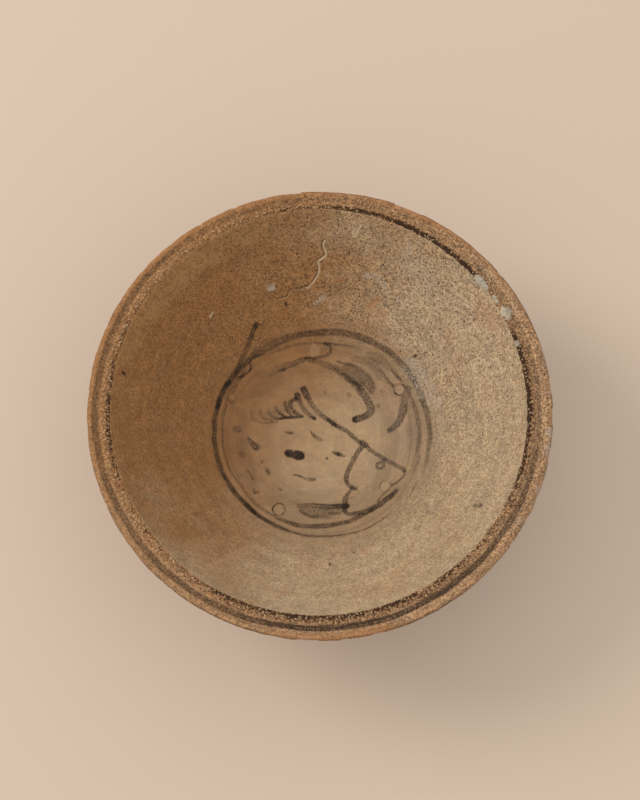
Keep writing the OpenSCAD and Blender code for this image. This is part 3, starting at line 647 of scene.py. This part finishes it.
    # Relief: sand grains, throwing rings and pinholes
    smooth = addNode(tree, "MapRange", {0: radius, 1: 32, 2: 48, 3: look["smoothWell"], 4: 1})
    relief = addNode(tree, "Math", {0: sand, 1: smooth}, operation="MULTIPLY")
    relief = addNode(tree, "Math", {0: rings, 1: 0.6, 2: relief}, operation="MULTIPLY_ADD")
    relief = addNode(tree, "Math", {0: dark, 1: -0.8, 2: relief}, operation="MULTIPLY_ADD")
    bump = addNode(tree, "Bump", {"Strength": 1.0, "Distance": look["relief"] / perMetre, "Height": relief})
    tree.links.new(bump, shader.inputs["Normal"])
    return material


# The browner colour and its side below stand for the flame's toasting and for painted shade on the wall
# facing away from the lamp
innerLook = {
    "pale": "#b5a083", "toastedAndShaded": "#966d43", "toastAndShadeSide": 154, "pooled": "#7a5f42", "olive": 0.6,
    "middle": 0.55, "wiped": "#ab9170", "greyPatch": "#a09079", "pinkPatch": "#ad846a", "patches": 0.4,
    "mottle": 0.15, "rings": 0.1, "sand": 0.56, "sandSize": 0.5, "sandSide": 40, "sandInWell": 0.22,
    "pit": "#3f2b1a", "pitSide": 70, "pitsFew": 0.3, "pitsMany": 0.58, "pitsInWell": 0.4, "iron": "#26170c",
    "ironThin": "#4e3a28", "crust": "#38220f", "haze": "#85572f", "fleck": "#d2b68d", "chalk": "#b8afa2",
    "glassy": "#c8b091", "bare": "#b98d68", "warm": "#a8683c", "sandy": "#b08b60", "roughWell": 0.42,
    "roughWall": 0.62, "specular": 0.25, "smoothWell": 0.2, "relief": 0.1,
}
rimLook = {**innerLook, "pale": "#ab8a68", "toastedAndShaded": "#a07850", "olive": 0, "middle": 0, "sandInWell": 1,
           "sand": 0.85, "pitsFew": 0.32, "pitsMany": 0.5, "warm": "#ab7749"}
outerLook = {**innerLook, "pale": "#a08460", "toastedAndShaded": "#8b6844", "olive": 0, "middle": 0, "rings": 0.1,
             "sandInWell": 1, "pitsFew": 0.3, "pitsMany": 0.45, "pitsInWell": 1}
clayLook = {**outerLook, "pale": "#a98062", "toastedAndShaded": "#9a6541", "rings": 0.12, "roughWell": 0.85,
            "roughWall": 0.85, "specular": 0.15, "smoothWell": 1, "relief": 0.16}
slipLook = {**clayLook, "pale": "#c9b79c", "toastedAndShaded": "#c0a585", "sand": 0.3, "rings": 0.04}
fillLook = {**clayLook, "pale": "#b3a999", "toastedAndShaded": "#a99f8f", "pinkPatch": "#a8957f",
            "greyPatch": "#b3b0a6", "sand": 0.3, "relief": 0.12}

# The brown side of each glaze is partly painted shade, on the wall facing away from the lamp
innerAshGlaze = glazedStoneware("innerAshGlaze", innerLook)  # satin, warm grey to toasted brown
rimAshGlaze = glazedStoneware("rimAshGlaze", rimLook)        # drier, browner and more sandy
outerAshGlaze = glazedStoneware("outerAshGlaze", outerLook)  # browner, with no pale slip under it
bareStoneware = glazedStoneware("bareStoneware", clayLook)   # matt and sandy, a warm brown
whiteSlip = glazedStoneware("whiteSlip", slipLook)           # matt, pale and fine
limeFiller = glazedStoneware("limeFiller", fillLook)         # chalky, greyish white
print("materials made")


def finish(piece, material, slot, *nodes):
    piece.data.materials.clear()
    piece.data.materials.append(material)
    if nodes:
        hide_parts(*nodes)
    return piece


# Inside of the bowl

# Yellowish sandy band under the ledge, by direction
sandBand = {0: 0, 90: 0.1, 108: 0.42, 135: 0.55, 160: 0.4, 185: 0.2, 210: 0}


def surfaceMarks(x, y):
    r, a = polar(x, y)
    band = around(sandBand, a) * ramp(r + grain(x, y, 6, 43), 65, 68.5) * (0.8 + 0.4 * grain(x, y, 1.6, 44))
    chalk, warm = marksAt(x, y, chalkMarks), marksAt(x, y, stainMarks)
    return {"chalk": chalk, "warm": warm, "sandy": np.clip(band, 0, 1)}


def hollowShape(a, r, depth):
    # Points on the hollow or at a depth under it
    far = r + ledgeStray(a, r)
    x, y = flatPlace(far, a)
    slope = hollowSlope(r)
    return far + depth * np.sin(slope), hollowHeight(x, y) - depth * np.cos(slope)


glazeRows = [(r, 0) for r in np.linspace(0, ledgeR, 122)]
glazeRows += [(r, glazeT) for r in np.linspace(ledgeR, 0, 24)]
innerGlaze = turned("innerGlaze", glazeRows, hollowShape, surfaceMarks)
finish(innerGlaze, innerAshGlaze, "inner_glaze", "inner_glaze")

slipLow = glazeT + bowl["slip"]
slipRows = [(r, glazeT) for r in np.linspace(0, ledgeR, 24)]
slipRows += [(r, slipLow) for r in np.linspace(ledgeR, 0, 24)]
finish(turned("innerSlip", slipRows, hollowShape), whiteSlip, "slip", "inner_slip")
print("inner glaze and slip made")


# The painted well: a disc for the motif, and a ring of glaze for each painted ring

well = {"motifR": 32.9, "between": 36.2, "outerR": 41.6, "cell": 0.3, "lift": 0.03}


def ringGrid(low, high, step):
    rows = int(round((high - low) / step)) + 1
    columns = int(2 * math.pi * high / step)
    turn = np.arange(columns) * 2 * math.pi / columns
    r, a = np.meshgrid(np.linspace(low, high, rows), turn, indexing="ij")
    return r * np.cos(a), r * np.sin(a)


def paintedPatch(name, x, y, node=None, closed=False, lift=well["lift"]):
    density = pigment(x, y)
    patch = laid(name, x, y, lift + 0.015 * density, closed=closed,
                 attributes={"iron": density, **surfaceMarks(x, y)})
    return finish(patch, innerAshGlaze, "iron_paint", *([node] if node else []))


paintedPatch("wellPainting", *discGrid(0, 0, well["motifR"], well["cell"]), "well_painting")
for name, low, high, node in (("wellRingNarrow", "motifR", "between", "well_ring_narrow"),
                              ("wellRingWide", "between", "outerR", "well_ring_wide")):
    paintedPatch(name, *ringGrid(well[low], well[high], well["cell"]), node, True)


def ribbonGrid(path, half, columns, perSpan=10):
    # Places on a band that follows a path, half being its reach to each side, and how far each is across
    line = smoothPath(path, perSpan)
    along = np.gradient(line, axis=0)
    along /= np.hypot(along[:, 0], along[:, 1])[:, None]
    across = np.linspace(-half, half, columns)
    x = line[:, 0][:, None] - along[:, 1][:, None] * across
    y = line[:, 1][:, None] + along[:, 0][:, None] * across
    return x, y, across[None] + 0 * x


tailX, tailY, _ = ribbonGrid(painting["tail"][0][:5], 2.8, 22)
paintedPatch("tailStroke", tailX, tailY, lift=well["lift"] + 0.01)
print("well painted")


# Rim: the bead where the wall turns, the flange with its groove, and the rounded lip

rim = {
    # Radii of the bead and the lip, where each arc starts or ends in degrees, and the groove between
    "beadR": 1.2, "lipR": 1.6, "grooveDepth": 0.55, "beadEnd": 75, "lipStart": 115, "lipEnd": -45,
    "inset": 0.16,          # keeps the lip's unevenness inside the bowl's true size
    "crustHeight": 0.34,    # how far the grit stands up
    # Strength of the dark crust along the ledge and of the grit beside it, by direction
    "crust": {0: 0.95, 18: 0.9, 30: 0.35, 40: 0.55, 46: 1, 66: 1, 78: 0.8, 92: 0.5, 110: 0.4, 130: 0.25,
              165: 0.5, 185: 0.7, 200: 0.5, 225: 0.45, 245: 0.75, 268: 0.9, 288: 0.85, 300: 0.6, 325: 0.5,
              345: 0.8},
    "grit": {0: 0.8, 40: 0.6, 90: 0.45, 130: 0.4, 180: 0.6, 220: 0.6, 250: 0.85, 290: 0.9, 320: 0.75},
    # The iron line on the flange, by direction: its radius, width and strength
    "lineR": {0: 75.2, 45: 75.8, 90: 76.6, 135: 77.0, 180: 76.9, 225: 76.4, 270: 75.8, 315: 75.2},
    "lineWidth": {0: 1.4, 60: 1.2, 110: 1.4, 150: 1.8, 200: 2.2, 255: 2.2, 300: 2.3, 345: 1.9},
    "lineStrength": {0: 0.6, 20: 0.5, 60: 0.34, 110: 0.3, 150: 0.55, 200: 0.64, 240: 0.76, 262: 0.95,
                     300: 0.95, 335: 0.82},
    "lineFrom": 73.9, "lineTo": 78.2,  # the part of the flange that carries it
    # Warmth of the lip's colour, by direction
    "lipWarm": {0: 0.05, 60: 0.5, 80: 0.4, 110: 0.5, 135: 0.6, 150: 0.35, 165: 0.45, 185: 0.15, 210: 0.05,
                250: 0.1, 262: 0.4, 285: 0.5, 296: 0.15},
    # Dark edge where the glaze has run off the lip, by direction
    "edge": {0: 0.45, 40: 0.8, 75: 0.8, 100: 0.6, 140: 0.4, 180: 0.15, 215: 0.3, 245: 0.6, 290: 0.7,
             320: 0.2},
    # Worn whitish places on the lip, by direction
    "worn": {0: 0.55, 8: 0.5, 14: 0.2, 22: 0.05, 90: 0.15, 180: 0.1, 250: 0.05, 320: 0.1, 346: 0.5},
}
# Chips in the lip: direction, half width in degrees, and depth
chips = [(69.6, 1.2, 1.5), (66, 3.6, 0.5), (122, 0.8, 0.5), (267, 3.2, 0.45), (276, 1.2, 0.35),
         (284, 1.6, 0.3), (6, 2.2, 0.35), (-2, 2.6, 0.4), (-12, 2.0, 0.35), (38, 0.9, 0.3), (205, 0.7, 0.3),
         (331, 1.2, 0.4), (324, 1.0, 0.35), (337, 0.8, 0.3), (112, 1.0, 0.3), (96, 1.4, 0.25),
         (158, 0.9, 0.3), (176, 1.3, 0.25)]


def arc(centre, radius, start, end, step=0.26):
    count = max(3, int(abs(math.radians(end - start)) * radius / step) + 1)
    turn = np.radians(np.linspace(start, end, count))
    return np.stack([centre[0] + radius * np.cos(turn), centre[1] + radius * np.sin(turn)], 1)


beadCentre = np.array(underHollow(ledgeR, rim["beadR"]))
lipCentre = np.array([rimR - rim["lipR"], rimTop - rim["lipR"]])
beadStart = 90 + math.degrees(hollowSlope(ledgeR))
beadArc = arc(beadCentre, rim["beadR"], beadStart, rim["beadEnd"])
lipArc = arc(lipCentre, rim["lipR"], rim["lipStart"], rim["lipEnd"])
spread = np.linspace(0, 1, 16)[1:-1, None]
groove = rim["grooveDepth"] * np.sin(math.pi * spread) * [0, 1]
grooveLine = beadArc[-1] + (lipArc[0] - beadArc[-1]) * spread - groove
wallLap = np.stack([np.array(underHollow(r, 0.12)) for r in (ledgeR - 0.9, ledgeR - 0.6, ledgeR - 0.3)])
rimLineTop = np.concatenate([wallLap, beadArc, grooveLine, lipArc])


def withNormals(line):
    along = np.gradient(line, axis=0)
    along /= np.hypot(along[:, 0], along[:, 1])[:, None]
    return np.concatenate([line, np.stack([-along[:, 1], along[:, 0]], 1)], 1)


def thinSection(line, thickness, lift=0.0):
    # A closed outline of an open line and the same line at a depth under it. The last value of
    # each point says whether it follows the surface's unevenness.
    faced, ones = withNormals(line), np.ones((len(line), 1))
    top = np.concatenate([faced, ones * lift, ones], 1)
    low = np.concatenate([faced, -ones * thickness, 0 * ones], 1)[::-1]
    return np.concatenate([top, low])


def rimShape(a, r, z, nr, nz, lift, follows):
    stray = around(bowl["ledgeStray"], a) * (1 - ramp(r, ledgeR + 1, rimR - 2.5)) * ramp(r, 25, ledgeR)
    x, y = flatPlace(r, a)
    onLip = ramp(r, rimR - 3.4, rimR - 1.8)
    onBead = np.exp(-((r - ledgeR - 0.75) / 0.8) ** 2)
    flat = ramp(r, ledgeR + 1, ledgeR + 3)
    push = 0.08 * grain(x, y, 5.5, 11) * flat + 0.045 * grain(x, y, 1.1, 12) - rim["inset"] * onLip
    push = push + 0.1 * grain(x, y, 3.2, 37) * onLip
    fromLine = r + stray - around(rim["lineR"], a)
    push = push + 0.2 * np.exp(-((fromLine + 2.1) / 0.6) ** 2) - 0.26 * np.exp(-(fromLine / 1.1) ** 2)
    crust = np.maximum(around(rim["crust"], a), around(rim["grit"], a))
    crust = crust * np.exp(-((r - ledgeR - 0.9) / 1.3) ** 2)
    gritty = 0.5 * grain(x, y, 0.9, 13) + 0.5 * grain(x, y, 0.45, 14)
    push = push + rim["crustHeight"] * crust * gritty - 0.12 * (1 - crust) * onBead
    for at, half, depth in chips:
        off = np.abs((a - at + 180) % 360 - 180) / half
        ragged = 1 + 0.35 * grain(x, y, 1.2, 15)
        push = push - depth * ragged * (1 - ramp(off, 0.45, 1)) * onLip
    move = push * follows + lift
    z = z + (0.16 * grain(a / 40, 0 * a, 1, 16) - 0.16) * flat
    return np.minimum(r + stray + nr * move, rimR - 0.02), np.minimum(z + nz * move, rimTop - 0.02)


def rimPigment(x, y):
    r, a = polar(x, y)
    away = np.abs(r + 0.25 * grain(x, y, 6, 17) - around(rim["lineR"], a))
    hairs = 1 - 0.14 * (grain(r * 5, a / 7, 1, 18) > 0.2)
    return brushProfile(away, around(rim["lineWidth"], a), around(rim["lineStrength"], a)) * hairs


def rimMarks(x, y):
    r, a = polar(x, y)
    bead = r - around(bowl["ledgeStray"], a) - ledgeR - 0.7 - 0.25 * grain(x, y, 2.4, 39)
    amount = around(rim["crust"], a) * (0.9 + 0.3 * grain(a / 3, 0 * a, 1, 31))
    crust = 0.95 * amount * np.exp(-(np.abs(bead) / 1.05) ** 3)
    crust = np.maximum(crust, 0.5 * around(rim["grit"], a) * np.exp(-(np.abs(bead - 1.0) / 1.7) ** 3))
    bare = np.zeros_like(r)
    for at, half, depth in chips:
        off = np.abs((a - at + 180) % 360 - 180) / half
        onLip = ramp(r, rimR - 2.6, rimR - 1.6)
        bare = np.maximum(bare, min(1, depth * 1.1) * (1 - ramp(off, 0.4, 1)) * onLip)
    outward = r + 0.5 * grain(x, y, 5, 20)
    warm = around(rim["lipWarm"], a) * ramp(outward, rimR - 3.4, rimR - 1.4)
    edge = around(rim["edge"], a) * ramp(r + 0.2 * grain(x, y, 1.5, 40), rimR - 0.95, rimR - 0.3)
    spots = ramp(grain(x, y, 3.5, 41), -0.1, 0.5)
    worn = around(rim["worn"], a) * ramp(outward, rimR - 4, rimR - 2) * spots
    streak = 0.3 * ramp(grain(a / 5, r * 1.4, 1, 42), 0.05, 0.6) * ramp(r, ledgeR + 2, ledgeR + 3)
    iron = np.maximum(np.maximum(rimPigment(x, y), streak), edge)
    return {"crust": np.clip(crust, 0, 1), "iron": iron, "bare": bare, "warm": warm, "chalk": worn}


rimGlaze = turned("rimGlaze", thinSection(rimLineTop, glazeT), rimShape, rimMarks)
finish(rimGlaze, rimAshGlaze, "rim_glaze", "rim_glaze")

# Filler in the gaps of the crust: direction, distance past the ledge, half length and half width
fills = [(39, 0.2, 4.6, 1.35), (28, 1.2, 3.2, 1.9), (33.2, 0.5, 2.0, 1.0), (19, 0.3, 1.2, 0.8)]
for number, (at, past, halfLength, halfWidth) in enumerate(fills, 1):
    faced = withNormals(rimLineTop[(rimLineTop[:, 0] < ledgeR + 5)])
    span = math.degrees((halfLength + 1.2) / ledgeR)
    a, index = np.meshgrid(np.linspace(at - span, at + span, int(span * 10)), np.arange(len(faced)))
    r, z, nr, nz = [faced[index, k] for k in range(4)]
    alongFill = np.radians(a - at) * ledgeR
    acrossFill = r - (ledgeR + past + 0.3)
    reach = np.hypot(alongFill / halfLength, acrossFill / halfWidth)
    reach = reach + 0.22 * grain(alongFill, acrossFill, 1.3, 32 + number)
    body = 1 - ramp(reach, 0.75, 1.05)
    lift = 0.34 * body - 0.32 * (1 - body) + 0.06 * grain(alongFill, acrossFill, 0.7, 36)
    grids = []
    for high, follows in ((lift, 1), (np.full_like(r, -0.36), 0)):
        fr, fz = rimShape(a, r, z, nr, nz, high, follows)
        grids.append(np.stack([*flatPlace(fr, a), fz], -1))
    marks = {"crust": 0.4 * ramp(reach, 0.5, 0.95) * body}
    patch = closedPatch(f"rimFill{number}", *grids, attributes=marks)
    finish(patch, limeFiller, "filler", "rim_fills")

onTop = rimLineTop[rimLineTop[:, 1] > rimTop - 2.5]
onLine = onTop[(onTop[:, 0] > rim["lineFrom"]) & (onTop[:, 0] < rim["lineTo"])]
known, wanted = np.linspace(0, 1, len(onLine)), np.linspace(0, 1, 18)
lineBand = np.stack([np.interp(wanted, known, c) for c in onLine.T], 1)
rimLine = turned("rimLine", thinSection(lineBand, 0.15, 0.02), rimShape, rimMarks)
finish(rimLine, rimAshGlaze, "iron_paint", "rim_line")
print("rim made")


# Outside: glaze that stops above the foot, bare clay below it, and the turned foot ring

outside = {"ridgePitch": 4.6, "ridgeDepth": 0.16, "wobble": 0.35, "glazeWave": 1.6, "heelUp": 2.5}


def outerPoint(r, depth):
    # The outside of the wall, by the radius of the hollow that it lies under
    return underHollow(r, wallThickness(r) - depth)


def hollowRAt(height):
    # The radius of the hollow under which the outside comes down to a height
    r = np.linspace(footR - 12, ledgeR, 2000)
    return float(np.interp(height, outerPoint(r, 0)[1], r))


def outsideShape(a, share, depth, lowest):
    # share runs from the lip, 0, to the bottom edge, 1, which waves a little round the bowl
    wave = outside["glazeWave"] * grain(a / 30, 0 * a, 1, 21) * lowest
    low = hollowRAt(glazeStopZ + 0.01) - wave
    r = ledgeR + (low - ledgeR) * share
    rr, z = outerPoint(r, depth)
    slope = hollowSlope(r)
    x, y = flatPlace(rr, a)
    fade = ramp(share, 0.02, 0.2)
    ridges = outside["ridgeDepth"] * np.sin(2 * math.pi * (z / outside["ridgePitch"] + a / 360))
    push = fade * (ridges + outside["wobble"] * grain(x, y, 18, 22) + 0.05 * grain(x, y, 2.2, 23)) - 0.1
    return rr + push * np.sin(slope), z - push * np.cos(slope)


outerRows = [(s, 0, 1) for s in np.linspace(0, 1, 92)]
outerRows += [(s, glazeT + 0.15, 1) for s in np.linspace(1, 0, 22)]
outerGlaze = turned("outerGlaze", outerRows, outsideShape)
finish(outerGlaze, outerAshGlaze, "outer_glaze", "outer_glaze")

heelR = hollowRAt(footTop + outside["heelUp"])
heelLow = (ledgeR - heelR) / (ledgeR - hollowRAt(glazeStopZ + 0.01))
coreRows = [(r, slipLow, 0) for r in np.linspace(0, ledgeR, 30)]
coreRows += [(s, glazeT, 1) for s in np.linspace(0.04, heelLow, 90)]
coreRows += [(footR, footTop, 2), (footR - 0.3, footTop, 2)]
coreRows += [(r, footTop, 2) for r in np.linspace(footR - 1, 0, 60)]


def coreShape(a, p, q, part):
    # The clay: its inside under the slip, its outside, and the turned floor inside the foot
    inR, inZ = hollowShape(a, p, q)
    outR, outZ = outsideShape(a, p, q, 0 * a)
    spiral = 0.09 * np.sin(2 * math.pi * (p / 2.4 - a / 360)) * ramp(p, 0.5, 3) * (1 - ramp(p, 22, 24))
    nub = 0.5 * np.exp(-(p / 2.2) ** 2)
    r = np.where(part == 0, inR, np.where(part == 1, outR, p))
    z = np.where(part == 0, inZ, np.where(part == 1, outZ, q + 0.12 + spiral - nub))
    return r, z


clayBody = turned("clayBody", coreRows, coreShape)
finish(clayBody, bareStoneware, "bare_clay", "clay_body")

foot = {"draft": 1.2, "faceW": 4.5, "chamfer": 0.6}
faceOut = footR - foot["draft"]
faceIn = faceOut - foot["faceW"]
outWall = [(footR + (faceOut - footR) * s, footTop + (foot["chamfer"] - footTop) * s)
           for s in np.linspace(0, 1, 18)]
inWall = [(faceIn - foot["draft"] * s, foot["chamfer"] + (footTop - foot["chamfer"]) * s)
          for s in np.linspace(0, 1, 18)]
outEdge = arc((faceOut - foot["chamfer"], foot["chamfer"]), foot["chamfer"], 0, -90, 0.15)[1:]
inEdge = arc((faceIn + foot["chamfer"], foot["chamfer"]), foot["chamfer"], -90, -180, 0.15)[:-1]
face = [(r, 0) for r in np.linspace(faceOut - foot["chamfer"], faceIn + foot["chamfer"], 10)[1:-1]]
footRows = np.array([*outWall, *outEdge, *face, *inEdge, *inWall])


def footShape(a, r, z):
    x, y = flatPlace(r, a)
    off = ramp(z, 0.15, 1.2) * (1 - ramp(z, footTop - 1, footTop))
    middle = (faceOut + faceIn) / 2
    turnMarks = 0.06 * np.sin(2 * math.pi * z / 1.7 + np.radians(a)) + 0.12 * grain(x, y, 6, 24)
    nick = ramp(grain(x, y, 3.2, 25), 0.55, 0.8) * ramp(z, -0.1, 0.3) * (1 - ramp(z, 0.5, 1.6))
    inwards = np.where(r > middle, -1, 1)
    return r + inwards * (0.2 - turnMarks) * off + inwards * 0.3 * nick, z + 0.2 * nick


footRing = turned("footRing", footRows, footShape)
finish(footRing, bareStoneware, "bare_clay", "foot_ring")
print("outside and foot made")


# Spur marks: where each spur of the kiln's stacking disc was knocked off, it left a low ragged
# ring of clay round a glassy middle

# Each mark's place in mm, the radius of its ring, the ring's darkness and how glassy it is inside
scars = [(28.8, 17.4, 2.1, 1.3, 0.16), (-2, 32.6, 2.4, 0.12, 0.24), (-32, 14.3, 1.3, 0.6, 0.05),
         (-14.9, -26.8, 2.2, 0.95, 0.1), (23.4, -18.2, 2.0, 0.72, 0.22)]
scar = {"ringWidth": 0.3, "height": 0.2, "cell": 0.12, "past": 0.8}

for number, (sx, sy, ringR, darkness, glassy) in enumerate(scars, 1):
    x, y = discGrid(sx, sy, ringR + scar["past"], scar["cell"])
    away = np.hypot(x - sx, y - sy)
    off = away + 0.42 * grain(x, y, 2.3, 26) - ringR
    ragged = np.clip(0.75 + 0.6 * grain(x, y, 1.6, 27), 0.15, 1.1)
    edge = 1 - ramp(away, ringR + 0.3, ringR + scar["past"])
    lift = 0.05 + scar["height"] * np.exp(-(off / 0.4) ** 2) * ragged * edge
    inside = 1 - ramp(off, -0.9, 0.1)
    outline = np.exp(-(off / scar["ringWidth"]) ** 2) * darkness * ragged * edge
    marks = {"iron": np.clip(np.maximum(outline, pigment(x, y) * (1 - 0.8 * inside)), 0, 1),
             "glassy": glassy * inside * edge}
    piece = laid(f"spurScar{number}", x, y, lift, attributes=marks)
    finish(piece, innerAshGlaze, "spur_clay", "spur_scars")
print("spur marks made")


# A fissure where the glaze crawled, a raised pale lip with painted shade along one side, and a curl and
# a scratch near it: each has its path in mm, how bright the lip is and how dark the painted shade beside it

fissures = {
    "glazeFissureTop": ([(7, 71), (7.2, 69.2), (7, 67.9), (6, 67), (5, 66.3)], 0.5, 0.7),
    "glazeFissure": ([(2, 65.3), (1.3, 64.6), (1.4, 63.6), (1.9, 62.6), (2.2, 61.7), (1.7, 61), (0.5, 60.3),
                      (-0.6, 59.7), (-0.5, 58.8), (-0.2, 58), (-0.4, 56.6), (-1, 55.3), (-2.2, 53.9),
                      (-4, 52.2), (-5.2, 51.9)], 1, 1),
    "glazeFissureFork": ([(-0.8, 59.8), (-2, 59), (-3.2, 58)], 0.4, 0.7),
    "glazeFissureEnd": ([(-5, 51.9), (-6.6, 51.5), (-8.4, 51.1), (-10.2, 51), (-11, 50), (-11.8, 48.9),
                         (-13.4, 48.4), (-15, 48)], 0.35, 0.9),
    "glazeCurl": ([(12, 67.9), (11.8, 66.3), (12.4, 65.9), (13.1, 66.6), (13.4, 67.3), (14.8, 68.8)], 1.1, 0),
    "glazeScratch": ([(-39.6, 39.4), (-38.2, 41.5)], 1, 0),
}
for name, (path, bright, paintedShade) in fissures.items():
    x, y, off = ribbonGrid(path, 0.95, 17, 8)
    swell = 0.85 + 0.3 * grain(x, y, 2, 28)
    ridge = np.exp(-(off / 0.34) ** 2) * swell
    # Painted shade along one side of the raised lip, laid in the iron pigment's dark colour
    paintedShadow = np.exp(-((off + 0.6) / 0.32) ** 2) * swell
    marks = {"glassy": np.clip(1.15 * bright * ridge, 0, 1), "iron": np.clip(0.72 * paintedShade * paintedShadow, 0, 1)}
    finish(laid(name, x, y, 0.03 + 0.2 * ridge, attributes=marks), innerAshGlaze, "inner_glaze")

# Iron specks that melted through the glaze: place in mm and reach
darkSpecks = [(-12.5, 47, 1.1), (-68, 14, 1.3), (54.5, -31.5, 1.5), (53.3, -31.0, 1.2), (12, -44.5, 0.9),
              (3.5, -49, 0.7), (34.5, 28, 0.8)]
for number, (sx, sy, reach) in enumerate(darkSpecks, 1):
    x, y = discGrid(sx, sy, reach * 1.5, 0.14)
    away = np.hypot(x - sx, y - sy) + 0.35 * grain(x, y, 0.9, 29)
    marks = {"iron": 0.9 * (1 - ramp(away, reach * 0.35, reach * 0.8))}
    finish(laid(f"ironSpeck{number}", x, y, 0.035 + 0 * x, attributes=marks), innerAshGlaze, "iron_paint")
print("fissure and specks made")


# Studio: a plain pale floor, one large soft lamp high on the far left, and an even sky

studio = {"floor": "#d4c5b7", "floorReach": 3.0, "sky": 0.83, "skyColour": "#fff6ec", "lampPower": 12.5,
          "lampColour": "#fff4e6", "lampSize": 0.9, "lampPlace": (-1.3, 0.5, 1.2)}

floorMesh = bpy.data.meshes.new("floor")
reach = studio["floorReach"]
corners = [(-reach, -reach, 0), (reach, -reach, 0), (reach, reach, 0), (-reach, reach, 0)]
floorMesh.from_pydata(corners, [], [(0, 1, 2, 3)])
floor = bpy.data.objects.new("floor", floorMesh)
bpy.context.scene.collection.objects.link(floor)
palePaper = bpy.data.materials.new("palePaper")  # matt, so that only the bowl's shadow shows on it
palePaper.use_nodes = True
paperShader = palePaper.node_tree.nodes["Principled BSDF"]
paperShader.inputs["Base Color"].default_value = linear(studio["floor"])
paperShader.inputs["Roughness"].default_value = 0.9
floorMesh.materials.append(palePaper)

world = bpy.data.worlds.new("sky")
world.use_nodes = True
world.node_tree.nodes["Background"].inputs["Color"].default_value = linear(studio["skyColour"])
world.node_tree.nodes["Background"].inputs["Strength"].default_value = studio["sky"]
bpy.context.scene.world = world

lamp = bpy.data.objects.new("softLamp", bpy.data.lights.new("softLamp", "AREA"))
lamp.data.shape = "DISK"
lamp.data.size = studio["lampSize"]
lamp.data.energy = studio["lampPower"]
lamp.data.color = linear(studio["lampColour"])[:3]
lamp.location = studio["lampPlace"]
lamp.rotation_euler = (-Vector(studio["lampPlace"])).to_track_quat("-Z", "Y").to_euler()
bpy.context.scene.collection.objects.link(lamp)
bpy.context.scene.view_settings.view_transform = "Standard"
print("studio lit")
